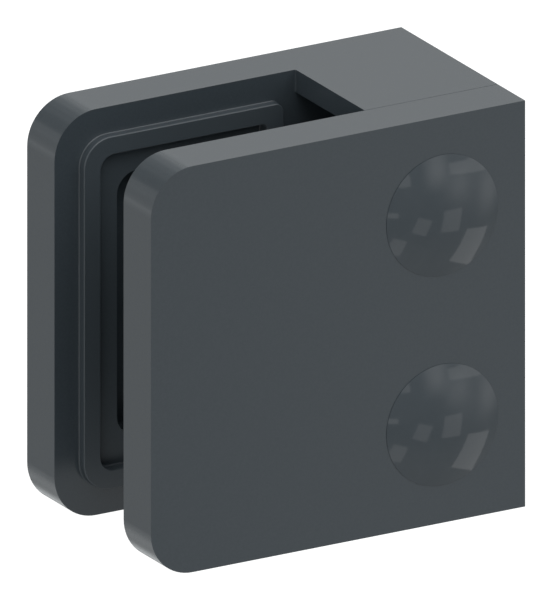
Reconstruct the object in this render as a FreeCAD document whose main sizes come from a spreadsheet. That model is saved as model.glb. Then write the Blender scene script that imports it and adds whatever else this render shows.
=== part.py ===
import FreeCAD, Part
import os
from types import SimpleNamespace
import Sketcher

# Square glass panel clamp for a flat post or wall, in millimetres.
# Origin: centre of the flat end face that bolts to the post.
# +X points into the post, so the slot for the glass opens towards -X. The cover plate faces -Y. +Z is up.

doc = FreeCAD.newDocument("glass_clamp")

# Driving dimensions
sizes = doc.addObject("Spreadsheet::Sheet", "Sizes")
DIMENSIONS = [
    ("clamp_length", 45.0, "end face to open end"),
    ("clamp_height", 45.0, "bottom to top"),
    ("plate_thickness", 5.7, "thickness of each jaw"),
    ("slot_width", 14.4, "gap between the two jaws"),
    ("corner_radius", 5.0, "rounded corners at the open end"),
    ("throat_radius", 0.25, "inside corners between the rear jaw and the throat wall"),
    ("block_length", 16.0, "end face to throat wall"),
    ("lintel_height", 2.5, "wall above and below the cored pocket"),
    ("end_wall", 5.0, "wall that bolts to the post"),
    ("seat_relief", 0.06, "walls of the block below the bosses that the cover plate seats on"),
    ("post_hole_radius", 4.25, "clearance hole for the M8 post bolt"),
    ("boss_radius", 5.0, "outside of the tapped bosses"),
    ("rib_thickness", 3.0, "rib from each boss to the end wall"),
    ("screw_inset", 10.0, "end face to the screw axes"),
    ("screw_margin", 10.9, "top or bottom of the clamp to the nearer screw axis"),
    ("screw_radius", 3.0, "M6 thread, drawn plain at its outside diameter"),
    ("screw_length", 16.0, "under the head to the tip"),
    ("screw_tip_chamfer", 0.6, "chamfer at the screw tip"),
    ("thread_clearance", 0.05, "screw to tapped hole, on the radius"),
    ("tip_clearance", 1.5, "screw tip to the bottom of its hole"),
    ("hole_clearance", 0.3, "screw to the hole in the cover plate, on the radius"),
    ("head_radius", 5.0, "low cylinder head"),
    ("head_height", 4.0, "low cylinder head"),
    ("head_chamfer", 0.4, "top edge of the head"),
    ("socket_width", 4.0, "hexagon socket across its flats"),
    ("socket_depth", 2.3, "hexagon socket"),
    ("counterbore_depth", 4.1, "front face to the seat of the screw head"),
    ("counterbore_radius", 6.2, "counterbore, which also holds the cap"),
    ("cap_radius", 6.7, "outside of the domed cap"),
    ("cap_band", 0.12, "straight rim of the cap"),
    ("cap_rise", 1.25, "front face to the top of the dome"),
    ("cap_ceiling", 0.1, "front face up to the flat ceiling inside the cap"),
    ("spigot_wall", 0.6, "wall of the ring that presses into the counterbore"),
    ("spigot_length", 1.8, "ring that presses into the counterbore"),
    ("gasket_margin", 3.0, "open end, top and bottom of the jaw to the gasket"),
    ("throat_margin", 2.0, "throat wall to the gasket"),
    ("gasket_corner", 3.2, "gasket corners at the open end"),
    ("gasket_inner_corner", 1.0, "gasket corners at the throat"),
    ("seat_depth", 2.5, "jaw face to the gasket's seat"),
    ("rim_height", 1.0, "gasket rim above the jaw face"),
    ("rim_width", 2.0, "gasket rim"),
    ("rim_chamfer", 0.08, "edges of the gasket rim"),
    ("lip_width", 0.1, "thin lip of the gasket on the jaw face, round its rim"),
    ("lip_height", 0.1, "thickness of that lip"),
    ("lip_chamfer", 0.08, "outer edge of that lip"),
    ("window_depth", 0.5, "jaw face down to the gasket's web"),
    ("window_corner", 1.7, "window corners at the open end"),
    ("window_inner_corner", 0.6, "window corners at the throat"),
    ("window_foot", 0.1, "chamfer between the window's walls and the gasket's web"),
    ("web_width", 2.8, "gasket web inside its rim"),
    ("core_corner", 2.5, "corners of the hole in the gasket and of the core behind it"),
    ("core_wall", 1.2, "wall left behind the core of each jaw"),
]
for row, (alias, value, note) in enumerate(DIMENSIONS, start=1):
    sizes.set("A%d" % row, alias)
    sizes.set("B%d" % row, str(value))
    sizes.setAlias("B%d" % row, alias)
    sizes.set("C%d" % row, note)
doc.recompute()


class Length:
    """A length from the sheet: its value now, and the expression that keeps a feature tied to the sheet."""

    def __init__(self, value, text):
        self.value = value
        self.text = text

    def __add__(self, other):
        return Length(self.value + other.value, "(%s + %s)" % (self.text, other.text))

    def __sub__(self, other):
        return Length(self.value - other.value, "(%s - %s)" % (self.text, other.text))

    def __neg__(self):
        return Length(-self.value, "(-%s)" % self.text)

    def __mul__(self, factor):
        return Length(self.value * factor, "(%s * %s)" % (self.text, factor))

    def __truediv__(self, divisor):
        return Length(self.value / divisor, "(%s / %s)" % (self.text, divisor))


size = SimpleNamespace(**{alias: Length(float(sizes.get(alias)), "Sizes." + alias)
                          for alias, value, note in DIMENSIONS})
ZERO = Length(0.0, "0")

# Places that several pieces share
half_height = size.clamp_height / 2
half_slot = size.slot_width / 2
front_face = half_slot + size.plate_thickness
open_end = -size.clamp_length
throat = -size.block_length
screw_x = -size.screw_inset
screw_z = half_height - size.screw_margin
gasket_left = open_end + size.gasket_margin
gasket_right = throat - size.throat_margin
gasket_top = half_height - size.gasket_margin
hole_inset = size.rim_width + size.web_width
under_head = size.plate_thickness - size.counterbore_depth


def new_body(label):
    body = doc.addObject("PartDesign::Body", label)
    body.Label = label
    return body


def origin_plane(body, role):
    return [part for part in body.Origin.OriginFeatures if part.Role == role][0]


def new_sketch(body, name, role="XZ_Plane", offset=ZERO):
    """A sketch on one of the body's own planes, moved along that plane's normal.

    The normal of the XZ plane points to -Y, so an offset there is a distance towards the front."""
    sketch = body.newObject("Sketcher::SketchObject", name)
    sketch.AttachmentSupport = (origin_plane(body, role), "")
    sketch.MapMode = "FlatFace"
    sketch.setExpression(".AttachmentOffset.Base.z", offset.text)
    return sketch


def bind(sketch, name, constraint, length):
    """Adds a dimension to a sketch and ties it to the sheet."""
    index = sketch.addConstraint(constraint)
    sketch.renameConstraint(index, name)
    sketch.setExpression("Constraints." + name, length.text)


def place_point(sketch, name, index, vertex, across, up):
    """Dimensions one point of a sketch from the sketch's origin."""
    bind(sketch, name + "_x", Sketcher.Constraint("DistanceX", -1, 1, index, vertex, across.value), across)
    bind(sketch, name + "_z", Sketcher.Constraint("DistanceY", -1, 1, index, vertex, up.value), up)


def rectangle(sketch, tag, left, right, low, high):
    """A rectangle dimensioned from the sketch's origin."""
    corners = [FreeCAD.Vector(x.value, z.value, 0)
               for x, z in ((left, low), (right, low), (right, high), (left, high))]
    first = sketch.GeometryCount
    for i in range(4):
        sketch.addGeometry(Part.LineSegment(corners[i], corners[(i + 1) % 4]))
    for i in range(4):
        sketch.addConstraint(Sketcher.Constraint("Coincident", first + i, 2, first + (i + 1) % 4, 1))
        side = "Horizontal" if i % 2 == 0 else "Vertical"
        sketch.addConstraint(Sketcher.Constraint(side, first + i))
    place_point(sketch, tag + "_low", first, 1, left, low)
    place_point(sketch, tag + "_high", first + 2, 1, right, high)


def circle(sketch, tag, across, up, radius):
    """A circle dimensioned from the sketch's origin."""
    centre = FreeCAD.Vector(across.value, up.value, 0)
    index = sketch.addGeometry(Part.Circle(centre, FreeCAD.Vector(0, 0, 1), radius.value))
    place_point(sketch, tag, index, 3, across, up)
    bind(sketch, tag + "_radius", Sketcher.Constraint("Radius", index, radius.value), radius)


def screw_circles(sketch, radius):
    """The same circle on both screw axes."""
    circle(sketch, "upper", screw_x, screw_z, radius)
    circle(sketch, "lower", screw_x, -screw_z, radius)


def pad(body, sketch, name, length, backwards=False):
    feature = body.newObject("PartDesign::Pad", name)
    feature.Profile = sketch
    feature.Reversed = backwards
    feature.setExpression("Length", length.text)
    doc.recompute()
    return feature


def pocket(body, sketch, name, length, forwards=False):
    """Cuts a sketch into the body, and stops if nothing was cut."""
    volume_before = body.Shape.Volume
    feature = body.newObject("PartDesign::Pocket", name)
    feature.Profile = sketch
    feature.Reversed = forwards
    feature.setExpression("Length", length.text)
    doc.recompute()
    if body.Shape.Volume >= volume_before:
        raise RuntimeError(name + " cuts nothing")
    return feature


def near(a, b):
    return abs(a - b) < 1e-4


def dress_edges(body, base, kind, name, amount, length, chosen):
    """Dresses the edges of a feature that the test picks out."""
    names = ["Edge%d" % number for number, edge in enumerate(base.Shape.Edges, start=1) if chosen(edge)]
    feature = body.newObject("PartDesign::" + kind, name)
    feature.Base = (base, names)
    feature.setExpression(amount, length.text)
    doc.recompute()
    return feature


def fillet(body, base, name, radius, chosen):
    return dress_edges(body, base, "Fillet", name, "Radius", radius, chosen)


def chamfer(body, base, name, width, chosen):
    return dress_edges(body, base, "Chamfer", name, "Size", width, chosen)


def corner_edges(x, z):
    """Picks the straight edges along Y at x, above and below, at plus and minus z."""
    def chosen(edge):
        box = edge.BoundBox
        return (near(box.XMin, x.value) and near(box.XMax, x.value) and near(box.ZMin, box.ZMax)
                and near(abs(box.ZMin), z.value) and box.YLength > 1e-3)
    return chosen


def lip_edges(y):
    """Picks the edges in one plane across Y that lie outside the gasket's rim."""
    def outside(point):
        in_rim = (abs(point.z) < gasket_top.value + 1e-4
                  and gasket_left.value - 1e-4 < point.x < gasket_right.value + 1e-4)
        return near(point.y, y.value) and not in_rim

    def chosen(edge):
        return all(outside(vertex.Point) for vertex in edge.Vertexes)
    return chosen


def upright_edges(x, y):
    """Picks the edges along Z at x and y."""
    def chosen(edge):
        box = edge.BoundBox
        return (near(box.XMin, x.value) and near(box.XMax, x.value)
                and near(box.YMin, y.value) and near(box.YMax, y.value))
    return chosen


def edges_in_plane(y):
    """Picks the edges that lie in one plane across Y."""
    def chosen(edge):
        return near(edge.BoundBox.YMin, y.value) and near(edge.BoundBox.YMax, y.value)
    return chosen


def make_jaw_plate(body, offset, backwards):
    """The plate of one jaw, with its two large corners."""
    sketch = new_sketch(body, "JawSketch", offset=offset)
    rectangle(sketch, "jaw", open_end, ZERO, -half_height, half_height)
    plate = pad(body, sketch, "Jaw", size.plate_thickness, backwards)
    return fillet(body, plate, "OpenEndCorners", size.corner_radius, corner_edges(open_end, half_height))


def cut_hole(body, tag, offset, forwards, inset, depth, left_radius, right_radius):
    """A pocket with rounded corners, inset from the gasket's outline by the same distance all round."""
    left, right, top = gasket_left + inset, gasket_right - inset, gasket_top - inset
    sketch = new_sketch(body, tag + "Sketch", offset=offset)
    rectangle(sketch, "outline", left, right, -top, top)
    hole = pocket(body, sketch, tag, depth, forwards)
    hole = fillet(body, hole, tag + "OuterCorners", left_radius, corner_edges(left, top))
    return fillet(body, hole, tag + "InnerCorners", right_radius, corner_edges(right, top))


def cut_gasket_seat(body, face, forwards):
    """The seat of a gasket in one jaw, and the core behind it."""
    cut_hole(body, "Seat", face, forwards, ZERO, size.seat_depth,
             size.gasket_corner, size.gasket_inner_corner)
    cut_hole(body, "Core", face, forwards, hole_inset, size.plate_thickness - size.core_wall,
             size.core_corner, size.core_corner)


def make_clamp_body():
    """Rear jaw and post block, cast in one piece."""
    body = new_body("clamp_body")
    rear_face = -half_slot
    make_jaw_plate(body, rear_face, backwards=True)

    sketch = new_sketch(body, "BlockSketch", offset=rear_face)
    rectangle(sketch, "block", throat, ZERO, -half_height, half_height)
    pad(body, sketch, "Block", size.slot_width - size.seat_relief)

    # The block is cored from the throat, between a lintel above and one below.
    inside = half_height - size.lintel_height
    sketch = new_sketch(body, "CavitySketch", offset=rear_face)
    rectangle(sketch, "cavity", throat, -size.end_wall, -inside, inside)
    cavity = pocket(body, sketch, "Cavity", size.slot_width, forwards=True)
    fillet(body, cavity, "ThroatCorners", size.throat_radius, upright_edges(throat, half_slot))

    sketch = new_sketch(body, "BossSketch", offset=rear_face)
    screw_circles(sketch, size.boss_radius)
    pad(body, sketch, "Bosses", size.slot_width)

    half_rib = size.rib_thickness / 2
    sketch = new_sketch(body, "RibSketch", offset=rear_face)
    for tag, height in (("upper", screw_z), ("lower", -screw_z)):
        rectangle(sketch, tag, screw_x, -size.end_wall, height - half_rib, height + half_rib)
    pad(body, sketch, "Ribs", size.slot_width)

    # Tapped from the face that the cover plate closes
    sketch = new_sketch(body, "TappingSketch", offset=half_slot)
    screw_circles(sketch, size.screw_radius + size.thread_clearance)
    pocket(body, sketch, "TappedHoles", size.screw_length - under_head + size.tip_clearance)

    sketch = new_sketch(body, "PostHoleSketch", role="YZ_Plane")
    circle(sketch, "post", ZERO, ZERO, size.post_hole_radius)
    pocket(body, sketch, "PostHole", size.end_wall)

    cut_gasket_seat(body, rear_face, forwards=False)
    return body


def make_front_jaw():
    """The cover plate that clamps the glass."""
    body = new_body("front_jaw")
    make_jaw_plate(body, half_slot, backwards=False)
    for name, radius, depth in (
            ("ScrewHoles", size.screw_radius + size.hole_clearance, size.plate_thickness),
            ("Counterbores", size.counterbore_radius, size.counterbore_depth)):
        sketch = new_sketch(body, name + "Sketch", offset=front_face)
        screw_circles(sketch, radius)
        pocket(body, sketch, name, depth)
    cut_gasket_seat(body, half_slot, forwards=True)
    return body


def add_lip(body, face, at_front):
    """The thin lip that lies on the jaw face and hides the joint of the rim with the jaw."""
    left, right = gasket_left - size.lip_width, gasket_right + size.lip_width
    top = gasket_top + size.lip_width
    sketch = new_sketch(body, "LipSketch", offset=face)
    rectangle(sketch, "lip", left, right, -top, top)
    lip = pad(body, sketch, "Lip", size.lip_height, backwards=at_front)
    lip = fillet(body, lip, "LipOuterCorners", size.gasket_corner + size.lip_width, corner_edges(left, top))
    lip = fillet(body, lip, "LipInnerCorners", size.gasket_inner_corner + size.lip_width,
                 corner_edges(right, top))
    lip_face = -face + size.lip_height if at_front else -face - size.lip_height
    return chamfer(body, lip, "LipEdge", size.lip_chamfer, lip_edges(lip_face))


def make_gasket(label, side):
    """A rubber inlay: a raised rim round a lower web that is open in the middle.

    side is 1 for the rear jaw and -1 for the front one."""
    body = new_body(label)
    at_front = side < 0
    seat_floor = (half_slot + size.seat_depth) * -side
    rim_face = (half_slot - size.rim_height) * -side
    sketch = new_sketch(body, "RimSketch", offset=seat_floor)
    rectangle(sketch, "rim", gasket_left, gasket_right, -gasket_top, gasket_top)
    rim = pad(body, sketch, "Rim", size.seat_depth + size.rim_height, backwards=at_front)
    rim = fillet(body, rim, "OuterCorners", size.gasket_corner, corner_edges(gasket_left, gasket_top))
    fillet(body, rim, "InnerCorners", size.gasket_inner_corner, corner_edges(gasket_right, gasket_top))
    add_lip(body, half_slot * -side, at_front)
    window = cut_hole(body, "Window", rim_face, at_front, size.rim_width, size.rim_height + size.window_depth,
                      size.window_corner, size.window_inner_corner)
    web_face = -rim_face + (size.rim_height + size.window_depth) * side
    chamfer(body, window, "WindowFoot", size.window_foot, edges_in_plane(web_face))
    hole = cut_hole(body, "Opening", rim_face, at_front, hole_inset, size.rim_height + size.seat_depth,
                    size.core_corner, size.core_corner)
    chamfer(body, hole, "RimEdges", size.rim_chamfer, edges_in_plane(-rim_face))
    return body


def stand_on_screw_axis(body, side, depth):
    """Puts a turned piece on a screw axis, its local Z towards the front, depth behind the front face."""
    body.Placement.Rotation = FreeCAD.Rotation(FreeCAD.Vector(1, 0, 0), 90)
    body.setExpression(".Placement.Base.x", screw_x.text)
    body.setExpression(".Placement.Base.y", (depth - front_face).text)
    body.setExpression(".Placement.Base.z", (screw_z * side).text)


def revolve(body, name, corners, domed=None):
    """Turns a closed half profile about the local Z axis.

    corners holds a name, a radius and a height for each corner. domed names the corner where an arc
    starts whose centre is on the axis."""
    sketch = new_sketch(body, name + "Profile")
    count = len(corners)
    ends = []
    for i, (corner, radius, height) in enumerate(corners):
        next_corner, next_radius, next_height = corners[(i + 1) % count]
        start = FreeCAD.Vector(radius.value, height.value, 0)
        end = FreeCAD.Vector(next_radius.value, next_height.value, 0)
        if corner != domed:
            ends.append((sketch.addGeometry(Part.LineSegment(start, end)), 1, 2))
            continue
        centre_height = (end.Length ** 2 - start.Length ** 2) / (2 * (end.y - start.y))
        centre = FreeCAD.Vector(0, centre_height, 0)
        low, high = (start, end) if start.x > end.x else (end, start)
        full = Part.Circle(centre, FreeCAD.Vector(0, 0, 1), (start - centre).Length)
        arc = Part.ArcOfCircle(full, full.parameter(low), full.parameter(high))
        index = sketch.addGeometry(arc)
        ends.append((index, 1, 2) if low is start else (index, 2, 1))
        sketch.addConstraint(Sketcher.Constraint("PointOnObject", index, 3, -2))
    for i in range(count):
        index, first, last = ends[i]
        next_index, next_first, next_last = ends[(i + 1) % count]
        sketch.addConstraint(Sketcher.Constraint("Coincident", index, last, next_index, next_first))
    for (corner, radius, height), (index, first, last) in zip(corners, ends):
        place_point(sketch, corner, index, first, radius, height)
    feature = body.newObject("PartDesign::Revolution", name)
    feature.Profile = sketch
    feature.ReferenceAxis = (sketch, ["V_Axis"])
    feature.Angle = 360
    doc.recompute()
    return feature


def make_screw(label, side):
    """Low-head cap screw with a hexagon socket. Its seat under the head is at local zero."""
    body = new_body(label)
    revolve(body, "Turning", (
        ("tip", ZERO, -size.screw_length),
        ("tip_edge", size.screw_radius - size.screw_tip_chamfer, -size.screw_length),
        ("shank_end", size.screw_radius, size.screw_tip_chamfer - size.screw_length),
        ("neck", size.screw_radius, ZERO),
        ("seat", size.head_radius, ZERO),
        ("side", size.head_radius, size.head_height - size.head_chamfer),
        ("crown", size.head_radius - size.head_chamfer, size.head_height),
        ("top", ZERO, size.head_height)))
    socket = body.newObject("PartDesign::SubtractivePrism", "Socket")
    socket.Polygon = 6
    socket.setExpression("Circumradius", "%s / sqrt(3)" % size.socket_width.text)
    socket.setExpression("Height", size.socket_depth.text)
    socket.AttachmentSupport = (origin_plane(body, "XY_Plane"), "")
    socket.MapMode = "FlatFace"
    socket.setExpression(".AttachmentOffset.Base.z", (size.head_height - size.socket_depth).text)
    doc.recompute()
    stand_on_screw_axis(body, side, size.counterbore_depth)
    return body


def make_cap(label, side):
    """Thin domed cap with a ring that presses into the counterbore. The front face is at local zero."""
    body = new_body(label)
    ring_inside = size.counterbore_radius - size.spigot_wall
    revolve(body, "Turning", (
        ("inside", ZERO, size.cap_ceiling),
        ("top", ZERO, size.cap_rise),
        ("band", size.cap_radius, size.cap_band),
        ("rim", size.cap_radius, ZERO),
        ("shoulder", size.counterbore_radius, ZERO),
        ("ring_outer", size.counterbore_radius, -size.spigot_length),
        ("ring_inner", ring_inside, -size.spigot_length),
        ("ceiling", ring_inside, size.cap_ceiling)), domed="top")
    stand_on_screw_axis(body, side, ZERO)
    return body


bodies = [make_clamp_body(), make_front_jaw(), make_gasket("rear_gasket", 1), make_gasket("front_gasket", -1)]
for place, side in (("upper", 1), ("lower", -1)):
    bodies.append(make_screw(place + "_screw", side))
    bodies.append(make_cap(place + "_cap", side))
doc.recompute()

for item in doc.Objects:
    if "Invalid" in item.State or "Error" in item.State:
        raise RuntimeError("%s failed: %s" % (item.Name, item.State))
for body in bodies:
    if body.Shape.isNull() or not body.Shape.isValid() or len(body.Shape.Solids) != 1:
        raise RuntimeError("%s isn't one valid solid" % body.Label)

os.makedirs("parts", exist_ok=True)
for body in bodies:
    body.Shape.exportStep("parts/%s.step" % body.Label)
    box = body.Shape.BoundBox
    print("%-14s %9.1f mm3   X %.2f to %.2f   Y %.2f to %.2f   Z %.2f to %.2f" % (
        body.Label, body.Shape.Volume, box.XMin, box.XMax, box.YMin, box.YMax, box.ZMin, box.ZMax))
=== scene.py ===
import math

import bmesh
import bpy
from mathutils import Matrix, Vector


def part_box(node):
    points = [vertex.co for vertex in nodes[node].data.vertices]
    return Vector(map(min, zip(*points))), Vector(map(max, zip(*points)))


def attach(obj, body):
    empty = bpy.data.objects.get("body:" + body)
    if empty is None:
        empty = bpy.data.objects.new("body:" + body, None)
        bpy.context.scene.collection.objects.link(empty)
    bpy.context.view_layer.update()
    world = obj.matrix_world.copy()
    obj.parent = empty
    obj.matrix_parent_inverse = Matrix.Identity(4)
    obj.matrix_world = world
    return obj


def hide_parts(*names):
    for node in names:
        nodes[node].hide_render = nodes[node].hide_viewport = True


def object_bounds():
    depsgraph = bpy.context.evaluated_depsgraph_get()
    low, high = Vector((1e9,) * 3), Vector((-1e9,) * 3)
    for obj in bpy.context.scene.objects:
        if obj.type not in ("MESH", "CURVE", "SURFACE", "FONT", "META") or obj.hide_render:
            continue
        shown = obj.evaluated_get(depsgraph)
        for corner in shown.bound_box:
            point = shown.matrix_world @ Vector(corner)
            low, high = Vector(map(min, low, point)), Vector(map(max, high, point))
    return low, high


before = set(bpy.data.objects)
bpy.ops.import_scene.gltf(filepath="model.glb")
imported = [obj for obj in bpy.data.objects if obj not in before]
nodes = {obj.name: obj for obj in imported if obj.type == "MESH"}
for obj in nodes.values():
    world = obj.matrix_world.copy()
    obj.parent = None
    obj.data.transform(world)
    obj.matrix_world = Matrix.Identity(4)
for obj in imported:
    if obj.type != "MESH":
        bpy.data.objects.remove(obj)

# Square glass panel clamp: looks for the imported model, in metres and in the same frame.
# +X points into the post, the cover plate faces -Y, and +Z is up.

bl_info = {
    "name": "Glass panel clamp",
    "version": (1, 0, 0),
    "blender": (4, 5, 0),
    "location": "3D View > Sidebar > Glass clamp",
    "description": "Powder-coated castings, gaskets, caps and screws of a square glass panel clamp",
    "category": "Object",
}

MM = 0.001
WHITE = "#FFFFFF"
cad_low, cad_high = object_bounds()

# The values between which a noise texture mostly lies
NOISE_LOW, NOISE_HIGH = 0.3, 0.7
# Spacing of a wave texture's rings at a scale of 1
WAVE = math.pi / 10
# Radius of the last loop round the top of a dome, inside which a fan closes it
POLE = 0.15 * MM
# Widths of a thread's ridge at its root and at its crest, as shares of the pitch
ROOT_SHARE, CREST_SHARE = 0.86, 0.14


def linear(hex_colour):
    """An sRGB colour such as #383E42 as the linear colour that Blender's sockets take."""
    channels = [int(hex_colour[i:i + 2], 16) / 255 for i in (1, 3, 5)]
    return tuple(c / 12.92 if c <= 0.04045 else ((c + 0.055) / 1.055) ** 2.4 for c in channels)


def add_node(tree, kind, place, values=None, links=None, **settings):
    """One node: its settings, its sockets' values by name or number, and links from other nodes' sockets."""
    node = tree.nodes.new(kind)
    node.location = place
    for name, value in settings.items():
        setattr(node, name, value)
    for socket, value in (values or {}).items():
        node.inputs[socket].default_value = value
    for socket, source in (links or {}).items():
        tree.links.new(source, node.inputs[socket])
    return node


def start_material(name):
    """A material with an empty tree, and the output of its object coordinates."""
    material = bpy.data.materials.new(name)
    material.use_nodes = True
    tree = material.node_tree
    tree.nodes.clear()
    place = add_node(tree, "ShaderNodeTexCoord", (-1200, 0))
    return material, tree, place.outputs["Object"]


def set_tones(ramp, look):
    """Runs a ramp from the dark tone to the light one, over the values that its noise mostly takes."""
    tones = (NOISE_LOW, look.colour_dark), (NOISE_HIGH, look.colour_light)
    for stop, (position, tone) in zip(ramp.color_ramp.elements, tones):
        stop.position = position
        stop.color = (*linear(tone), 1)


def finish_material(tree, shader):
    add_node(tree, "ShaderNodeOutputMaterial", (600, 0), links={"Surface": shader.outputs["BSDF"]})


def powder_coat_material(look):
    """Satin polyester powder coat, sprayed and baked on a zinc die casting.

    The eye sees an even anthracite skin with a soft sheen. The powder melts into a faint orange peel about
    a millimetre across, and its fine grain breaks up the edges of reflections."""
    material, tree, place = start_material("satin_powder_coat")
    peel = add_node(tree, "ShaderNodeTexNoise", (-900, 100),
                    {"Scale": 1 / look.peel_size, "Detail": 2.0, "Roughness": 0.5}, {"Vector": place})
    grain = add_node(tree, "ShaderNodeTexNoise", (-900, -200),
                     {"Scale": 1 / look.grain_size, "Detail": 3.0, "Roughness": 0.6}, {"Vector": place})
    colour = add_node(tree, "ShaderNodeValToRGB", (-500, 300), links={"Fac": grain.outputs["Fac"]})
    set_tones(colour, look)
    sheen = add_node(tree, "ShaderNodeMapRange", (-500, 0),
                     {"From Min": NOISE_LOW, "From Max": NOISE_HIGH,
                      "To Min": look.roughness - look.roughness_spread,
                      "To Max": look.roughness + look.roughness_spread}, {"Value": grain.outputs["Fac"]})
    peel_bump = add_node(tree, "ShaderNodeBump", (-300, -200),
                         {"Strength": 1.0, "Distance": look.peel_depth}, {"Height": peel.outputs["Fac"]})
    grain_bump = add_node(tree, "ShaderNodeBump", (-100, -300),
                          {"Strength": 1.0, "Distance": look.grain_depth},
                          {"Height": grain.outputs["Fac"], "Normal": peel_bump.outputs["Normal"]})
    shader = add_node(tree, "ShaderNodeBsdfPrincipled", (200, 0),
                      {"Metallic": 0.0, "IOR": 1.5, "Specular IOR Level": look.gloss},
                      {"Base Color": colour.outputs["Color"], "Roughness": sheen.outputs["Result"],
                       "Normal": grain_bump.outputs["Normal"]})
    finish_material(tree, shader)
    return material


def rubber_material(look):
    """EPDM rubber, compression moulded.

    It is near black and a little warmer than the paint, with a dull skin and the faint mottle of the mould."""
    material, tree, place = start_material("moulded_epdm_rubber")
    mottle = add_node(tree, "ShaderNodeTexNoise", (-900, 0),
                      {"Scale": 1 / look.grain_size, "Detail": 3.0, "Roughness": 0.6}, {"Vector": place})
    colour = add_node(tree, "ShaderNodeValToRGB", (-500, 200), links={"Fac": mottle.outputs["Fac"]})
    set_tones(colour, look)
    dullness = add_node(tree, "ShaderNodeMapRange", (-500, -50),
                        {"From Min": NOISE_LOW, "From Max": NOISE_HIGH,
                         "To Min": look.roughness - look.roughness_spread,
                         "To Max": look.roughness + look.roughness_spread}, {"Value": mottle.outputs["Fac"]})
    bump = add_node(tree, "ShaderNodeBump", (-200, -250),
                    {"Strength": 1.0, "Distance": look.grain_depth}, {"Height": mottle.outputs["Fac"]})
    shader = add_node(tree, "ShaderNodeBsdfPrincipled", (200, 0),
                      {"Metallic": 0.0, "IOR": 1.5, "Specular IOR Level": look.gloss},
                      {"Base Color": colour.outputs["Color"], "Roughness": dullness.outputs["Result"],
                       "Normal": bump.outputs["Normal"]})
    finish_material(tree, shader)
    return material


def gloss_cap_material(look):
    """ABS, injection moulded in a polished tool in the colour of the paint.

    Windows and lamps show in it with sharp edges, a little bent by the moulding's slow sink."""
    material, tree, place = start_material("polished_moulded_abs")
    sink = add_node(tree, "ShaderNodeTexNoise", (-900, -100),
                    {"Scale": 1 / look.sink_size, "Detail": 1.0, "Roughness": 0.4}, {"Vector": place})
    haze = add_node(tree, "ShaderNodeTexNoise", (-900, 200),
                    {"Scale": 1 / look.haze_size, "Detail": 3.0, "Roughness": 0.6}, {"Vector": place})
    colour = add_node(tree, "ShaderNodeValToRGB", (-500, 300), links={"Fac": haze.outputs["Fac"]})
    set_tones(colour, look)
    polish = add_node(tree, "ShaderNodeMapRange", (-500, 0),
                      {"From Min": NOISE_LOW, "From Max": NOISE_HIGH,
                       "To Min": look.roughness - look.roughness_spread,
                       "To Max": look.roughness + look.roughness_spread}, {"Value": haze.outputs["Fac"]})
    bump = add_node(tree, "ShaderNodeBump", (-200, -250),
                    {"Strength": 1.0, "Distance": look.sink_depth}, {"Height": sink.outputs["Fac"]})
    shader = add_node(tree, "ShaderNodeBsdfPrincipled", (200, 0),
                      {"Metallic": 0.0, "IOR": 1.53, "Specular IOR Level": look.gloss},
                      {"Base Color": colour.outputs["Color"], "Roughness": polish.outputs["Result"],
                       "Normal": bump.outputs["Normal"]})
    finish_material(tree, shader)
    return material


def stainless_material(name, look, axis):
    """A2 stainless steel, cold headed with a rolled thread.

    It is a warm grey metal with fine rings round its axis from the die and the turning tool."""
    material, tree, place = start_material(name)
    centred = add_node(tree, "ShaderNodeMapping", (-1000, 0), {"Location": tuple(-axis)}, {"Vector": place})
    rings = add_node(tree, "ShaderNodeTexWave", (-800, 100),
                     {"Scale": WAVE / look.ring_size, "Distortion": 1.5, "Detail": 2.0, "Detail Scale": 2.0},
                     {"Vector": centred.outputs["Vector"]}, wave_type="RINGS", rings_direction="Y")
    mottle = add_node(tree, "ShaderNodeTexNoise", (-600, -200),
                      {"Scale": 1 / look.mottle_size, "Detail": 3.0, "Roughness": 0.6},
                      {"Vector": centred.outputs["Vector"]})
    colour = add_node(tree, "ShaderNodeValToRGB", (-400, 300), links={"Fac": mottle.outputs["Fac"]})
    set_tones(colour, look)
    polish = add_node(tree, "ShaderNodeMapRange", (-400, 0),
                      {"To Min": look.roughness - look.roughness_spread,
                       "To Max": look.roughness + look.roughness_spread}, {"Value": rings.outputs["Fac"]})
    bump = add_node(tree, "ShaderNodeBump", (-200, -250),
                    {"Strength": 0.6, "Distance": look.ring_depth}, {"Height": rings.outputs["Fac"]})
    shader = add_node(tree, "ShaderNodeBsdfPrincipled", (200, 0), {"Metallic": 1.0},
                      {"Base Color": colour.outputs["Color"], "Roughness": polish.outputs["Result"],
                       "Normal": bump.outputs["Normal"]})
    finish_material(tree, shader)
    return material


def turned_mesh(name, loops, steps, centre):
    """A closed turned solid whose axis runs to the front, along -Y, through centre.

    Each loop is a radius and a height along the axis. A radius may be a function of the angle, as for a
    hexagon. The first and the last loop are closed by a fan."""
    mesh = bmesh.new()
    rows = []
    for radius, height in loops:
        row = []
        for step in range(steps):
            angle = math.tau * step / steps
            r = radius(angle) if callable(radius) else radius
            row.append(mesh.verts.new(centre + Vector((r * math.cos(angle), -height, r * math.sin(angle)))))
        rows.append(row)
    for low, high in zip(rows, rows[1:]):
        for i in range(steps):
            j = (i + 1) % steps
            mesh.faces.new((low[i], low[j], high[j], high[i]))
    for row, (_, height) in ((rows[0], loops[0]), (rows[-1], loops[-1])):
        middle = mesh.verts.new(centre + Vector((0, -height, 0)))
        for i in range(steps):
            mesh.faces.new((row[i], row[(i + 1) % steps], middle))
    bmesh.ops.recalc_face_normals(mesh, faces=mesh.faces)
    data = bpy.data.meshes.new(name)
    mesh.to_mesh(data)
    mesh.free()
    return data


def smooth_by_angle(data, degrees):
    """Smooth shading, with sharp edges kept where faces meet at more than the angle."""
    data.polygons.foreach_set("use_smooth", [True] * len(data.polygons))
    data.set_sharp_from_angle(angle=math.radians(degrees))


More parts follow.
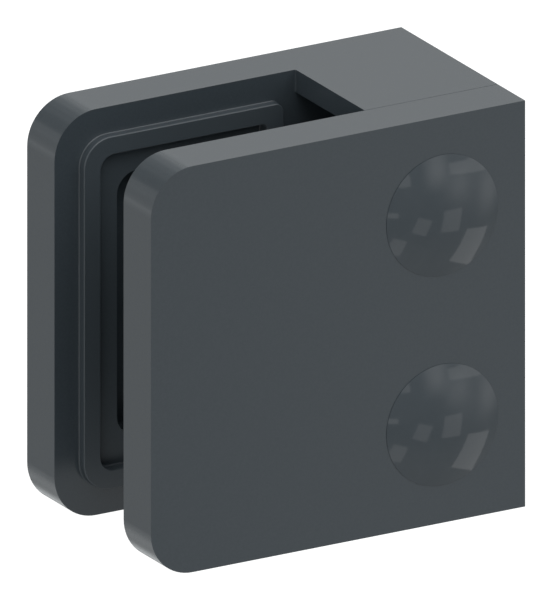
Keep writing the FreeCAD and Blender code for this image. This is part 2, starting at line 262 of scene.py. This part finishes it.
def new_object(name, data):
    made = bpy.data.objects.new(name, data)
    bpy.context.scene.collection.objects.link(made)
    return made


def give_material(piece, material):
    piece.data.materials.clear()
    piece.data.materials.append(material)


def stand_for(piece, name, body, material):
    """Puts a finer piece in the place of a CAD node, and gives both its material."""
    give_material(piece, material)
    give_material(nodes[name], material)
    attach(piece, body)
    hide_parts(name)


def front_face():
    """Where the front face of the cover plate lies along Y."""
    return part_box("front_jaw")[0].y


def screw_axis(node):
    """The point on a turned node's axis, at the front face of the cover plate."""
    low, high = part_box(node)
    return Vector(((low.x + high.x) / 2, front_face(), (low.z + high.z) / 2))


class CLAMP_PG_castings(bpy.types.PropertyGroup):
    colour_light: bpy.props.StringProperty(
        name="Paint, light", description="Lighter tone of the paint, sRGB hex", default="#383F44")
    colour_dark: bpy.props.StringProperty(
        name="Paint, dark", description="Darker tone of the paint, sRGB hex", default="#343B40")
    roughness: bpy.props.FloatProperty(
        name="Roughness", description="Roughness of the satin paint",
        default=0.2, min=0, max=1, subtype="FACTOR")
    roughness_spread: bpy.props.FloatProperty(
        name="Roughness spread", description="How far the roughness strays from place to place",
        default=0.03, min=0, max=1)
    gloss: bpy.props.FloatProperty(
        name="Gloss", description="Specular level of the paint", default=0.5, min=0, max=1, subtype="FACTOR")
    peel_size: bpy.props.FloatProperty(
        name="Orange peel", description="Width of one wave of the orange peel",
        default=1.1 * MM, unit="LENGTH", precision=5)
    peel_depth: bpy.props.FloatProperty(
        name="Orange peel depth", description="Height of the orange peel",
        default=0.002 * MM, unit="LENGTH", precision=6)
    grain_size: bpy.props.FloatProperty(
        name="Grain", description="Size of the paint's grain", default=0.22 * MM, unit="LENGTH", precision=5)
    grain_depth: bpy.props.FloatProperty(
        name="Grain depth", description="Height of the paint's grain",
        default=0.0005 * MM, unit="LENGTH", precision=6)


class CLAMP_PG_gaskets(bpy.types.PropertyGroup):
    colour_light: bpy.props.StringProperty(
        name="Rubber, light", description="Lighter tone of the rubber, sRGB hex", default="#394045")
    colour_dark: bpy.props.StringProperty(
        name="Rubber, dark", description="Darker tone of the rubber, sRGB hex", default="#353C41")
    roughness: bpy.props.FloatProperty(
        name="Roughness", description="Roughness of the rubber", default=0.4, min=0, max=1, subtype="FACTOR")
    roughness_spread: bpy.props.FloatProperty(
        name="Roughness spread", description="How far the roughness strays from place to place",
        default=0.04, min=0, max=1)
    gloss: bpy.props.FloatProperty(
        name="Gloss", description="Specular level of the rubber", default=0.5, min=0, max=1, subtype="FACTOR")
    grain_size: bpy.props.FloatProperty(
        name="Grain", description="Size of the mould's grain", default=0.2 * MM, unit="LENGTH", precision=5)
    grain_depth: bpy.props.FloatProperty(
        name="Grain depth", description="Height of the mould's grain",
        default=0.003 * MM, unit="LENGTH", precision=6)


class CLAMP_PG_caps(bpy.types.PropertyGroup):
    colour_light: bpy.props.StringProperty(
        name="Plastic, light", description="Lighter tone of the caps, sRGB hex", default="#383F44")
    colour_dark: bpy.props.StringProperty(
        name="Plastic, dark", description="Darker tone of the caps, sRGB hex", default="#363D42")
    roughness: bpy.props.FloatProperty(
        name="Roughness", description="Roughness of the polished plastic",
        default=0.06, min=0, max=1, subtype="FACTOR")
    roughness_spread: bpy.props.FloatProperty(
        name="Roughness spread", description="How far the roughness strays from place to place",
        default=0.02, min=0, max=1)
    gloss: bpy.props.FloatProperty(
        name="Gloss", description="Specular level of the plastic", default=0.5, min=0, max=1, subtype="FACTOR")
    sink_size: bpy.props.FloatProperty(
        name="Sink", description="Width of the moulding's slow waves",
        default=6 * MM, unit="LENGTH", precision=5)
    sink_depth: bpy.props.FloatProperty(
        name="Sink depth", description="Height of the moulding's slow waves",
        default=0.01 * MM, unit="LENGTH", precision=6)
    haze_size: bpy.props.FloatProperty(
        name="Haze", description="Size of the patches of slightly duller polish",
        default=1.5 * MM, unit="LENGTH", precision=5)
    ceiling: bpy.props.FloatProperty(
        name="Ceiling", description="Front face up to the flat ceiling inside the cap",
        default=0.1 * MM, unit="LENGTH", precision=5)
    undercut: bpy.props.FloatProperty(
        name="Undercut", description="Height and depth of the dark gap under the dome's rim",
        default=0.05 * MM, unit="LENGTH", precision=5)
    ring_radius: bpy.props.FloatProperty(
        name="Ring radius", description="Outside of the ring that presses into the counterbore",
        default=6.2 * MM, unit="LENGTH", precision=5)
    ring_wall: bpy.props.FloatProperty(
        name="Ring wall", description="Wall of that ring", default=0.6 * MM, unit="LENGTH", precision=5)
    dome_steps: bpy.props.IntProperty(
        name="Dome steps", description="Rows of faces from the rim to the top of the dome", default=18, min=3)
    steps: bpy.props.IntProperty(name="Steps round", description="Faces round the cap", default=112, min=12)


class CLAMP_PG_screws(bpy.types.PropertyGroup):
    colour_light: bpy.props.StringProperty(
        name="Steel, light", description="Lighter tone of the steel, sRGB hex", default="#CFCBC4")
    colour_dark: bpy.props.StringProperty(
        name="Steel, dark", description="Darker tone of the steel, sRGB hex", default="#B9B5AE")
    roughness: bpy.props.FloatProperty(
        name="Roughness", description="Roughness of the steel", default=0.3, min=0, max=1, subtype="FACTOR")
    roughness_spread: bpy.props.FloatProperty(
        name="Roughness spread", description="How far the roughness strays from place to place",
        default=0.05, min=0, max=1)
    ring_size: bpy.props.FloatProperty(
        name="Turning rings", description="Spacing of the turning rings",
        default=0.0754 * MM, unit="LENGTH", precision=5)
    ring_depth: bpy.props.FloatProperty(
        name="Ring depth", description="Depth of the turning rings",
        default=0.002 * MM, unit="LENGTH", precision=6)
    mottle_size: bpy.props.FloatProperty(
        name="Mottle", description="Size of the patches in the steel",
        default=0.8 * MM, unit="LENGTH", precision=5)
    pitch: bpy.props.FloatProperty(
        name="Pitch", description="Thread pitch of an M6 screw", default=1.0 * MM, unit="LENGTH", precision=5)
    thread_depth: bpy.props.FloatProperty(
        name="Thread depth", description="Crest to root on the radius",
        default=0.61 * MM, unit="LENGTH", precision=5)
    head_height: bpy.props.FloatProperty(
        name="Head height", description="Low cylinder head", default=4.0 * MM, unit="LENGTH", precision=5)
    head_chamfer: bpy.props.FloatProperty(
        name="Head chamfer", description="Chamfer round the top of the head",
        default=0.4 * MM, unit="LENGTH", precision=5)
    shank_radius: bpy.props.FloatProperty(
        name="Shank radius", description="Outside of the thread", default=3.0 * MM, unit="LENGTH", precision=5)
    socket_width: bpy.props.FloatProperty(
        name="Socket", description="Hexagon socket across its flats",
        default=4.0 * MM, unit="LENGTH", precision=5)
    socket_depth: bpy.props.FloatProperty(
        name="Socket depth", description="Depth of the hexagon socket",
        default=2.3 * MM, unit="LENGTH", precision=5)
    steps: bpy.props.IntProperty(name="Steps round", description="Faces round the core", default=72, min=12)
    turn_steps: bpy.props.IntProperty(
        name="Steps per turn", description="Faces along each turn of the thread", default=40, min=12)


class CLAMP_PG_stage(bpy.types.PropertyGroup):
    azimuth: bpy.props.FloatProperty(
        name="Azimuth", description="Camera's turn round the clamp", default=math.radians(-30), subtype="ANGLE")
    elevation: bpy.props.FloatProperty(
        name="Elevation", description="Camera's angle above the horizon",
        default=math.radians(20), subtype="ANGLE")
    picture_height: bpy.props.FloatProperty(
        name="Picture height", description="Height of the picture at the clamp",
        default=62.478 * MM, unit="LENGTH", precision=5)
    camera_distance: bpy.props.FloatProperty(
        name="Camera distance", description="Clamp to the camera", default=1.0, unit="LENGTH")
    sky: bpy.props.FloatProperty(
        name="Surroundings", description="Brightness of the white surroundings", default=0.345, min=0)
    sky_colour: bpy.props.StringProperty(
        name="Surroundings, colour", description="Colour of the surroundings, sRGB hex", default="#FCFFFF")
    floor_light: bpy.props.FloatProperty(
        name="Floor", description="Brightness of the lit white floor", default=1.05, min=0)
    paper_colour: bpy.props.StringProperty(
        name="Floor, colour", description="Colour of the floor without its own light, sRGB hex",
        default="#595959")
    fibre_size: bpy.props.FloatProperty(
        name="Paper fibre", description="Size of the paper's fibre",
        default=1.111 * MM, unit="LENGTH", precision=5)
    floor_size: bpy.props.FloatProperty(
        name="Floor size", description="Length of each side of the floor", default=3.2, unit="LENGTH")
    floor_gap: bpy.props.FloatProperty(
        name="Floor gap", description="Floor to the lowest point of the clamp",
        default=0.02 * MM, unit="LENGTH", precision=5)
    key_light: bpy.props.FloatProperty(
        name="Key light", description="Brightness of the large softbox above and to the left",
        default=2.43, min=0)
    panel_light: bpy.props.FloatProperty(
        name="Panels", description="Brightness of the panels round the clamp, which show in the domes",
        default=1.0, min=0)
    corner_colour: bpy.props.StringProperty(
        name="Corner lamps, colour", description="Colour of the small lamps behind the clamp, sRGB hex",
        default="#F9FDFF")
    panel_distance: bpy.props.FloatProperty(
        name="Panel distance", description="Upper cap to the panels that show in the domes",
        default=0.55, min=0.3, unit="LENGTH")
    lamp_distance: bpy.props.FloatProperty(
        name="Lamp distance", description="Clamp to all other lamps", default=10.0, unit="LENGTH")


class CLAMP_OT_castings(bpy.types.Operator):
    """Gives the rear jaw with its block and the cover plate their powder coat"""
    bl_idname = "clamp.castings"
    bl_label = "Powder-coat the castings"

    def execute(self, context):
        paint = powder_coat_material(context.scene.clamp_castings)
        for name in ("clamp_body", "front_jaw"):
            give_material(nodes[name], paint)
        return {"FINISHED"}


class CLAMP_OT_gaskets(bpy.types.Operator):
    """Gives the two moulded inlays their rubber"""
    bl_idname = "clamp.gaskets"
    bl_label = "Mould the gaskets"

    def execute(self, context):
        rubber = rubber_material(context.scene.clamp_gaskets)
        for name in ("rear_gasket", "front_gasket"):
            give_material(nodes[name], rubber)
        return {"FINISHED"}


class CLAMP_OT_caps(bpy.types.Operator):
    """Turns the two domed caps finely enough for clean reflections"""
    bl_idname = "clamp.caps"
    bl_label = "Turn the caps"

    def profile(self, node, look):
        """Loops of the cap from inside its ring, round the outside, to the top of the dome."""
        low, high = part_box(node)
        outside = (high.x - low.x) / 2
        rise = front_face() - low.y
        ring_length = high.y - front_face()
        ring_inside = look.ring_radius - look.ring_wall
        loops = [(ring_inside / 2, look.ceiling), (ring_inside, look.ceiling), (ring_inside, -ring_length),
                 (look.ring_radius, -ring_length), (look.ring_radius, 0), (outside - look.undercut, 0)]
        dome_height = rise - look.undercut
        sphere = (outside ** 2 + dome_height ** 2) / (2 * dome_height)
        centre = rise - sphere
        rim_angle = math.asin(outside / sphere)
        for i in range(look.dome_steps):
            angle = rim_angle * (1 - i / look.dome_steps)
            loops.append((sphere * math.sin(angle), centre + sphere * math.cos(angle)))
        loops.append((POLE, centre + math.sqrt(sphere ** 2 - POLE ** 2)))
        return loops

    def execute(self, context):
        look = context.scene.clamp_caps
        plastic = gloss_cap_material(look)
        for name in ("upper_cap", "lower_cap"):
            data = turned_mesh(name, self.profile(name, look), look.steps, screw_axis(name))
            smooth_by_angle(data, 40)
            stand_for(new_object("polished_" + name, data), name, "front_jaw", plastic)
        return {"FINISHED"}


class CLAMP_OT_screws(bpy.types.Operator):
    """Makes the two clamping screws, whose threads show when the cover plate is loose"""
    bl_idname = "clamp.screws"
    bl_label = "Cut the screws"

    def thread_tree(self):
        """A group that winds a right-hand thread round Z, and turns it on to its core."""
        tree = bpy.data.node_groups.new("wound_thread", "GeometryNodeTree")
        for name, kind in (("Core", "NodeSocketGeometry"), ("Pitch", "NodeSocketFloat"),
                           ("Turns", "NodeSocketFloat"), ("Middle radius", "NodeSocketFloat"),
                           ("Depth", "NodeSocketFloat"), ("Steps", "NodeSocketInt"),
                           ("Place", "NodeSocketVector"), ("Material", "NodeSocketMaterial")):
            tree.interface.new_socket(name, in_out="INPUT", socket_type=kind)
        tree.interface.new_socket("Screw", in_out="OUTPUT", socket_type="NodeSocketGeometry")
        given = add_node(tree, "NodeGroupInput", (-1200, 0)).outputs
        length = add_node(tree, "ShaderNodeMath", (-1000, 200),
                          links={0: given["Pitch"], 1: given["Turns"]}, operation="MULTIPLY")
        helix = add_node(tree, "GeometryNodeCurveSpiral", (-800, 200), {"Reverse": True},
                         {"Resolution": given["Steps"], "Rotations": given["Turns"],
                          "Start Radius": given["Middle radius"], "End Radius": given["Middle radius"],
                          "Height": length.outputs[0]})
        upright = add_node(tree, "GeometryNodeSetCurveNormal", (-600, 200),
                           links={"Curve": helix.outputs["Curve"]}, mode="Z_UP")
        root = add_node(tree, "ShaderNodeMath", (-1000, -100), {1: ROOT_SHARE}, {0: given["Pitch"]},
                        operation="MULTIPLY")
        crest = add_node(tree, "ShaderNodeMath", (-1000, -300), {1: CREST_SHARE}, {0: given["Pitch"]},
                         operation="MULTIPLY")
        ridge = add_node(tree, "GeometryNodeCurvePrimitiveQuadrilateral", (-800, -100),
                         {"Offset": 0.0},
                         {"Bottom Width": root.outputs[0], "Top Width": crest.outputs[0],
                          "Height": given["Depth"]}, mode="TRAPEZOID")
        stood = add_node(tree, "GeometryNodeTransform", (-600, -100),
                         {"Rotation": (0, 0, math.radians(-90))}, {"Geometry": ridge.outputs["Curve"]})
        thread = add_node(tree, "GeometryNodeCurveToMesh", (-400, 100), {"Fill Caps": True},
                          {"Curve": upright.outputs["Curve"], "Profile Curve": stood.outputs["Geometry"]})
        placed = add_node(tree, "GeometryNodeTransform", (-200, 100), {"Rotation": (math.radians(90), 0, 0)},
                          {"Geometry": thread.outputs["Mesh"], "Translation": given["Place"]})
        joined = add_node(tree, "GeometryNodeJoinGeometry", (0, 0), links={"Geometry": given["Core"]})
        tree.links.new(placed.outputs["Geometry"], joined.inputs["Geometry"])
        real = add_node(tree, "GeometryNodeRealizeInstances", (200, 0),
                        links={"Geometry": joined.outputs["Geometry"]})
        coated = add_node(tree, "GeometryNodeSetMaterial", (400, 0),
                          links={"Geometry": real.outputs["Geometry"], "Material": given["Material"]})
        add_node(tree, "NodeGroupOutput", (600, 0), links={0: coated.outputs["Geometry"]})
        return tree

    def profile(self, look, head, shank):
        """Loops of a screw's core, from its tip over the seat of its head to the bottom of its socket."""
        top, flat = look.head_height, look.socket_width / 2
        root = look.shank_radius - look.thread_depth
        tip_radius, tip_chamfer = root * 0.7, 0.3 * MM
        neck, thread_end = 0.6 * MM, 0.9 * MM
        round_the_socket, socket_edge = flat * 1.3, 0.12 * MM
        drill_radius, drill_depth = 0.2 * MM, 0.5 * MM

        def hexagon(angle):
            return flat / math.cos((angle % (math.pi / 3)) - math.pi / 6)

        return [(tip_radius, -shank), (root, tip_chamfer - shank), (root, -thread_end),
                (look.shank_radius, -neck), (look.shank_radius, 0), (head, 0),
                (head, top - look.head_chamfer), (head - look.head_chamfer, top),
                (round_the_socket, top), (lambda angle: hexagon(angle) + socket_edge, top),
                (hexagon, top - socket_edge), (hexagon, top - look.socket_depth),
                (drill_radius, top - look.socket_depth - drill_depth)]

    def execute(self, context):
        look = context.scene.clamp_screws
        tree = self.thread_tree()
        bare_tip, bare_neck = 0.5 * MM, 1.1 * MM
        for name in ("upper_screw", "lower_screw"):
            low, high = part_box(name)
            seat = Vector(((low.x + high.x) / 2, low.y + look.head_height, (low.z + high.z) / 2))
            steel = stainless_material("stainless_" + name, look, seat)
            shank = high.y - seat.y
            loops = self.profile(look, (high.x - low.x) / 2, shank)
            piece = new_object("threaded_" + name, turned_mesh(name + "_core", loops, look.steps, seat))
            wound = piece.modifiers.new("Thread", "NODES")
            wound.node_group = tree
            inputs = {"Pitch": look.pitch, "Turns": (shank - bare_tip - bare_neck) / look.pitch,
                      "Middle radius": look.shank_radius - look.thread_depth / 2, "Depth": look.thread_depth,
                      "Steps": look.turn_steps, "Place": seat + Vector((0, shank - bare_tip, 0)),
                      "Material": steel}
            for item in tree.interface.items_tree:
                if item.name in inputs:
                    wound[item.identifier] = inputs[item.name]
            context.view_layer.update()
            solid = bpy.data.meshes.new_from_object(piece.evaluated_get(context.evaluated_depsgraph_get()))
            piece.modifiers.remove(wound)
            piece.data = solid
            smooth_by_angle(solid, 35)
            stand_for(piece, name, name, steel)
        return {"FINISHED"}


# Panels that show in the domes, seen from the upper cap: name, azimuth, elevation and roll in degrees, width
# and height in metres for each metre of distance, lean of the sides, softness of the edges from 0 to 1, and
# brightness
PANELS = (
    ("panel_low_right", 33.2, -21.5, -1.3, 0.238, 0.22, 0.065, 0.03, 0.44),
    ("panel_low_middle", 12.4, -22.5, -19.4, 0.178, 0.172, 0.016, 0.03, 0.43),
    ("panel_low_left", -3.0, -34.3, -19.8, 0.171, 0.179, 0.042, 0.03, 0.44),
    ("panel_floor_right", 56.3, -36.5, -1.0, 0.294, 0.306, 0.003, 0.03, 0.61),
    ("panel_front_left", 0.3, 6.8, 0.8, 0.143, 0.124, -0.021, 0.03, 0.54),
    ("strip_left", -7.2, -13.5, -4.9, 0.141, 0.072, 0.049, 0.4, 0.6),
    ("strip_right", 46.3, 4.4, -12.3, 0.6, 0.131, 0.024, 0.2, 0.53),
    ("soft_high_right", 22.7, 9.6, -10.5, 0.436, 0.581, 0.0, 0.95, 0.76),
    ("soft_right", 36.2, -2.3, -12.6, 0.446, 0.448, 0.0, 0.95, 0.35),
    ("soft_far_right", 60.9, -10.8, -4.9, 0.433, 0.55, 0.0, 0.95, 0.48),
)

# How far the edges of a wide lamp fade, as a share of its half width
WIDE_SOFTNESS = 0.95

# Wide soft lamps far from the clamp: name, azimuth and elevation in degrees, side in metres for each metre of
# distance, and brightness
WIDE_LAMPS = (
    ("wide_front", 0.0, 0.0, 1.1, 0.05),
    ("wide_front_high", 0.0, 40.0, 1.1, 2.34),
    ("wide_front_low", 0.0, -45.0, 1.1, 0.2),
    ("wide_right", 45.0, 0.0, 1.1, 0.3),
    ("wide_right_high", 45.0, 40.0, 1.1, 2.4),
    ("wide_right_low", 45.0, -45.0, 1.1, 0.15),
    ("wide_side_high", 90.0, 40.0, 1.1, 1.51),
    ("wide_side_low", 90.0, -45.0, 1.1, 0.26),
    ("wide_left", -45.0, 0.0, 1.1, 1.45),
    ("wide_left_high", -45.0, 40.0, 1.1, 0.61),
    ("wide_far_left_low", -90.0, -45.0, 1.1, 0.95),
    ("wide_back", 135.0, 0.0, 1.1, 0.55),
    ("wide_back_high", 135.0, 40.0, 1.1, 0.89),
    ("wide_back_left", -135.0, 0.0, 1.1, 0.2),
    ("wide_back_left_low", -135.0, -45.0, 1.1, 0.26),
    ("left_high", -85.0, 25.0, 0.6, 2.51),
    ("side_low", 60.0, -25.0, 0.36, 0.05),
)

# Size for each metre of distance and softness that the lamps of the next table share
CORNER_SIZE, CORNER_SOFTNESS = 0.17, 0.7

# Small lamps behind the clamp, which the camera sees mirrored in the rounded corners: the angle round a corner
# from its top in degrees, and brightness
CORNER_LAMPS = (
    (-4, 0.21), (4, 0.53), (12, 0.53), (20, 0.51), (28, 0.27), (36, 0.24), (52, 0.02), (58, 0.56), (64, 0.52),
    (70, 0.28), (76, 0.36), (82, 0.85), (88, 0.39), (94, 0.26), (97, 0.52), (102, 0.75), (107, 0.62), (112, 0.35),
    (117, 0.28), (122, 0.51), (127, 0.55), (132, 0.56),
)


def direction(azimuth, elevation):
    """From the clamp towards an azimuth, measured from its front to its right, and an elevation, in radians."""
    return Vector((math.sin(azimuth) * math.cos(elevation), -math.cos(azimuth) * math.cos(elevation),
                   math.sin(elevation)))


class CLAMP_OT_stage(bpy.types.Operator):
    """Sets the white floor, the soft lights and the camera"""
    bl_idname = "clamp.stage"
    bl_label = "Set the stage"

    def floor(self, look):
        material, tree, place = start_material("lit_white_paper")
        fibre = add_node(tree, "ShaderNodeTexNoise", (-700, 0), {"Scale": 1 / look.fibre_size, "Detail": 3.0},
                         {"Vector": place})
        paper = add_node(tree, "ShaderNodeMapRange", (-400, 0), {"To Min": 0.6, "To Max": 0.8},
                         {"Value": fibre.outputs["Fac"]})
        shader = add_node(tree, "ShaderNodeBsdfPrincipled", (0, 0),
                          {"Base Color": (*linear(look.paper_colour), 1), "Specular IOR Level": 0.0,
                           "Emission Color": (*linear(WHITE), 1), "Emission Strength": look.floor_light},
                          {"Roughness": paper.outputs["Result"]})
        finish_material(tree, shader)
        half, ground = look.floor_size / 2, cad_low.z - look.floor_gap
        data = bpy.data.meshes.new("floor")
        data.from_pydata([(x * half, y * half, ground) for x, y in ((-1, -1), (1, -1), (1, 1), (-1, 1))],
                         [], [(0, 1, 2, 3)])
        floor = new_object("floor", data)
        give_material(floor, material)
        # Only the camera sees the floor's own light, and the surroundings light the clamp from below.
        floor.visible_diffuse = floor.visible_glossy = floor.visible_shadow = False

    def softbox(self, look, name, azimuth, elevation, roll, width, height, lean, softness, brightness,
                colour=WHITE, seen_from=None, far=None):
        """A rectangular lamp, seen from the clamp's middle or another point at an azimuth and elevation.

        Its width and height are for each metre of distance. Its sides lean by a share of its width, and its
        edges fade over the share of its half width that softness gives."""
        seen_from = seen_from or (cad_low + cad_high) / 2
        far = far or look.lamp_distance
        lamp = bpy.data.lights.new(name, "AREA")
        lamp.shape = "RECTANGLE"
        lamp.size, lamp.size_y = width * far, height * far
        lamp.energy = brightness * math.pi * lamp.size * lamp.size_y
        lamp.use_nodes = True
        tree = lamp.node_tree
        tree.nodes.clear()
        spot = add_node(tree, "ShaderNodeNewGeometry", (-1000, 0))
        split = add_node(tree, "ShaderNodeSeparateXYZ", (-800, 0), links={"Vector": spot.outputs["Parametric"]})
        across, up = (add_node(tree, "ShaderNodeMath", (-600, -200 * row), {1: 0.5}, {0: split.outputs[axis]},
                               operation="SUBTRACT") for row, axis in enumerate("XY"))
        leant = add_node(tree, "ShaderNodeMath", (-500, 0), {1: lean},
                         {0: up.outputs[0], 2: across.outputs[0]}, operation="MULTIPLY_ADD")
        fades = []
        for row, (off, edge) in enumerate(((leant, 0.5 - 0.5 * abs(lean)), (up, 0.5))):
            distance = add_node(tree, "ShaderNodeMath", (-400, -200 * row), links={0: off.outputs[0]},
                                operation="ABSOLUTE")
            fades.append(add_node(tree, "ShaderNodeMapRange", (-200, -200 * row),
                                  {"From Min": edge, "From Max": edge - 0.5 * softness},
                                  {"Value": distance.outputs[0]}, interpolation_type="SMOOTHSTEP"))
        both = add_node(tree, "ShaderNodeMath", (0, 0),
                        links={row: fade.outputs["Result"] for row, fade in enumerate(fades)},
                        operation="MULTIPLY")
        glow = add_node(tree, "ShaderNodeEmission", (200, 0), {"Color": (*linear(colour), 1)},
                        {"Strength": both.outputs[0]})
        add_node(tree, "ShaderNodeOutputLight", (400, 0), links={"Surface": glow.outputs["Emission"]})
        out = direction(math.radians(azimuth), math.radians(elevation))
        light = new_object(name, lamp)
        light.location = seen_from + far * out
        light.rotation_euler = (Matrix.Rotation(math.radians(roll), 3, out)
                                @ out.to_track_quat("Z", "Y").to_matrix()).to_euler()
        light.visible_camera = False

    def camera(self, look):
        right = Vector((math.cos(look.azimuth), math.sin(look.azimuth), 0))
        back = direction(look.azimuth, look.elevation)
        up = back.cross(right)
        # The picture is cut a little to the left of the clamp's middle and above it.
        middle, left, above = Vector((-22.5, -1.3, 0)) * MM, 0.664 * MM, 0.7723 * MM
        aim = middle - left * right + above * up
        # The picture has no perspective, and its long side is its height.
        lens = bpy.data.cameras.new("camera")
        lens.type = "ORTHO"
        lens.ortho_scale = look.picture_height
        camera = new_object("camera", lens)
        camera.location = aim + look.camera_distance * back
        camera.rotation_euler = Matrix((right, up, back)).transposed().to_euler()
        lens.clip_start, lens.clip_end = 0.1, 10
        bpy.context.scene.camera = camera

    def execute(self, context):
        look = context.scene.clamp_stage
        self.floor(look)
        world = bpy.data.worlds.new("white_surroundings")
        context.scene.world = world
        world.use_nodes = True
        tree = world.node_tree
        tree.nodes.clear()
        sky = add_node(tree, "ShaderNodeBackground", (0, 0),
                       {"Color": (*linear(look.sky_colour), 1), "Strength": look.sky})
        add_node(tree, "ShaderNodeOutputWorld", (200, 0), links={"Surface": sky.outputs["Background"]})
        self.softbox(look, "key_softbox", azimuth=-60, elevation=75, roll=0, width=1.5, height=1.5, lean=0,
                     softness=0.9, brightness=look.key_light)
        for *panel, brightness in PANELS:
            self.softbox(look, *panel, brightness * look.panel_light, seen_from=screw_axis("upper_cap"),
                         far=look.panel_distance)
        for name, azimuth, elevation, side, brightness in WIDE_LAMPS:
            self.softbox(look, name, azimuth, elevation, roll=0, width=side, height=side, lean=0,
                         softness=WIDE_SOFTNESS, brightness=brightness * look.panel_light)
        to_camera = direction(look.azimuth, look.elevation)
        for turn, brightness in CORNER_LAMPS:
            normal = Vector((-math.sin(math.radians(turn)), 0, math.cos(math.radians(turn))))
            mirrored = 2 * normal.dot(to_camera) * normal - to_camera
            self.softbox(look, "corner_%d" % turn, math.degrees(math.atan2(mirrored.x, -mirrored.y)),
                         math.degrees(math.asin(mirrored.z)), roll=0, width=CORNER_SIZE, height=CORNER_SIZE,
                         lean=0, softness=CORNER_SOFTNESS, brightness=brightness * look.panel_light,
                         colour=look.corner_colour)
        self.camera(look)
        context.scene.view_settings.view_transform = "Standard"
        return {"FINISHED"}


class CLAMP_PT_panel(bpy.types.Panel):
    """Lists the pieces of the clamp"""
    bl_idname = "CLAMP_PT_panel"
    bl_label = "Glass panel clamp"
    bl_space_type = "VIEW_3D"
    bl_region_type = "UI"
    bl_category = "Glass clamp"

    def draw(self, context):
        for group, settings, operator in GROUPS:
            box = self.layout.box()
            box.operator(operator.bl_idname)
            for name in settings.__annotations__:
                box.prop(getattr(context.scene, group), name)


# Each group of settings in the scene, and the operator that reads them
GROUPS = (
    ("clamp_castings", CLAMP_PG_castings, CLAMP_OT_castings),
    ("clamp_gaskets", CLAMP_PG_gaskets, CLAMP_OT_gaskets),
    ("clamp_caps", CLAMP_PG_caps, CLAMP_OT_caps),
    ("clamp_screws", CLAMP_PG_screws, CLAMP_OT_screws),
    ("clamp_stage", CLAMP_PG_stage, CLAMP_OT_stage),
)


def register():
    for name, settings, operator in GROUPS:
        bpy.utils.register_class(settings)
        setattr(bpy.types.Scene, name, bpy.props.PointerProperty(type=settings))
        bpy.utils.register_class(operator)
    bpy.utils.register_class(CLAMP_PT_panel)


def unregister():
    bpy.utils.unregister_class(CLAMP_PT_panel)
    for name, settings, operator in reversed(GROUPS):
        bpy.utils.unregister_class(operator)
        delattr(bpy.types.Scene, name)
        bpy.utils.unregister_class(settings)


def main():
    register()
    bpy.ops.clamp.castings()
    bpy.ops.clamp.gaskets()
    bpy.ops.clamp.caps()
    bpy.ops.clamp.screws()
    bpy.ops.clamp.stage()


if __name__ == "__main__":
    main()
